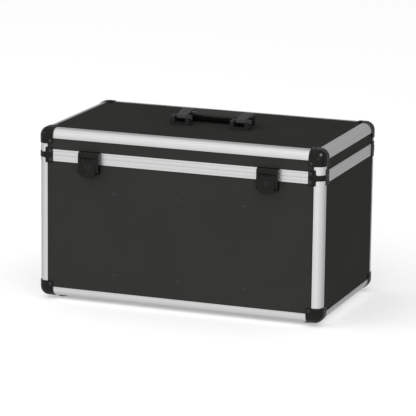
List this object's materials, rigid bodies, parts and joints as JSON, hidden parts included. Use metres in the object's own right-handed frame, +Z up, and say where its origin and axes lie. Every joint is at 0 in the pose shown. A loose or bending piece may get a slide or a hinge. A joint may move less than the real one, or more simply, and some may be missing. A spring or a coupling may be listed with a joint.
{
  "type": "flight case",
  "caption": "Hinged flight case for lighting gear: black boards in rounded aluminium edges, ball corners, toggle latches, folding handle and dividers inside.",
  "frame": {"origin": "middle of the underside of the bounding box, on the surface that the feet stand on", "axes": "+X to the right along the longest side, +Y from the latches to the hinges, +Z up"},
  "size_m": [0.5252, 0.318, 0.3276],
  "materials": {
    "laminate": "fine-grained matt black laminate on board",
    "aluminium": "satin anodised extrusion",
    "corner_plastic": "semi-gloss moulded black",
    "latch_plastic": "finely textured moulded black",
    "handle_gloss": "glossy moulded black",
    "grip": "satin soft black sleeve",
    "black_steel": "blackened, slightly worn",
    "steel": "zinc plated",
    "lock_metal": "dark satin die cast",
    "foam": "closed-cell dark grey foam",
    "rubber": "matt black"
  },
  "bodies": {
    "base": {"base_back_panel": "laminate", "base_ball_corners": "corner_plastic", "base_bottom_panel": "laminate", "base_closing_corners": "corner_plastic", "base_edge_back": "aluminium", "base_edge_front": "aluminium", "base_edge_left": "aluminium", "base_edge_right": "aluminium", "base_front_panel": "laminate", "base_left_panel": "laminate", "base_posts": "aluminium", "base_right_panel": "laminate", "base_rim_back": "aluminium", "base_rim_front": "aluminium", "base_rim_left": "aluminium", "base_rim_right": "aluminium", "base_rivets": "black_steel", "feet": "rubber", "foot_screws": "steel", "divider_channels": "aluminium", "divider_rivets": "black_steel", "dividers": "laminate", "floor_pad": "foam", "latch_left_housing": "latch_plastic", "latch_right_housing": "latch_plastic", "latch_pins": "steel", "hinge_base_leaves": "steel", "hinge_pins": "steel"},
    "lid": {"lid_back_panel": "laminate", "lid_ball_corners": "corner_plastic", "lid_closing_corners": "corner_plastic", "lid_edge_back": "aluminium", "lid_edge_front": "aluminium", "lid_edge_left": "aluminium", "lid_edge_right": "aluminium", "lid_front_panel": "laminate", "lid_left_panel": "laminate", "lid_pad": "foam", "lid_posts": "aluminium", "lid_right_panel": "laminate", "lid_rim_back": "aluminium", "lid_rim_front": "aluminium", "lid_rim_left": "aluminium", "lid_rim_right": "aluminium", "lid_rivets": "black_steel", "lid_top_panel": "laminate", "latch_keepers": "latch_plastic", "hinge_lid_leaves": "steel", "handle_brackets": "handle_gloss", "handle_pins": "steel"},
    "handle": {"handle_frame": "handle_gloss", "handle_grip": "grip"},
    "left_lever": {"latch_left_lever": "latch_plastic"},
    "left_claw": {"latch_left_claw": "latch_plastic"},
    "left_lock": {"latch_left_lock": "lock_metal"},
    "right_lever": {"latch_right_lever": "latch_plastic"},
    "right_claw": {"latch_right_claw": "latch_plastic"},
    "right_lock": {"latch_right_lock": "lock_metal"}
  },
  "joints": [
    {"name": "lid_hinge", "type": "hinge", "parent": "base", "child": "lid", "pos_m": [0, 0.1532, 0.2589], "axis": [-1, 0, 0], "range_deg": [0, 99]},
    {"name": "handle_fold", "type": "hinge", "parent": "lid", "child": "handle", "pos_m": [0.0095, -0.013, 0.3162], "axis": [1, 0, 0], "range_deg": [0, 180]},
    {"name": "left_lever_turn", "type": "hinge", "parent": "base", "child": "left_lever", "pos_m": [-0.163, -0.1515, 0.258], "axis": [-1, 0, 0], "range_deg": [0, 110]},
    {"name": "left_claw_turn", "type": "hinge", "parent": "left_lever", "child": "left_claw", "pos_m": [-0.163, -0.1515, 0.246], "axis": [-1, 0, 0], "range_deg": [-110, 0]},
    {"name": "left_lock_turn", "type": "hinge", "parent": "left_lever", "child": "left_lock", "pos_m": [-0.163, -0.1515, 0.246], "axis": [0, -1, 0], "range_deg": [0, 90]},
    {"name": "right_lever_turn", "type": "hinge", "parent": "base", "child": "right_lever", "pos_m": [0.163, -0.1515, 0.258], "axis": [-1, 0, 0], "range_deg": [0, 110]},
    {"name": "right_claw_turn", "type": "hinge", "parent": "right_lever", "child": "right_claw", "pos_m": [0.163, -0.1515, 0.246], "axis": [-1, 0, 0], "range_deg": [-110, 0]},
    {"name": "right_lock_turn", "type": "hinge", "parent": "right_lever", "child": "right_lock", "pos_m": [0.163, -0.1515, 0.246], "axis": [0, -1, 0], "range_deg": [0, 90]}
  ],
  "couplings": [
    {"joint": "left_claw_turn", "follows": "left_lever_turn", "ratio": -1},
    {"joint": "right_claw_turn", "follows": "right_lever_turn", "ratio": -1}
  ]
}
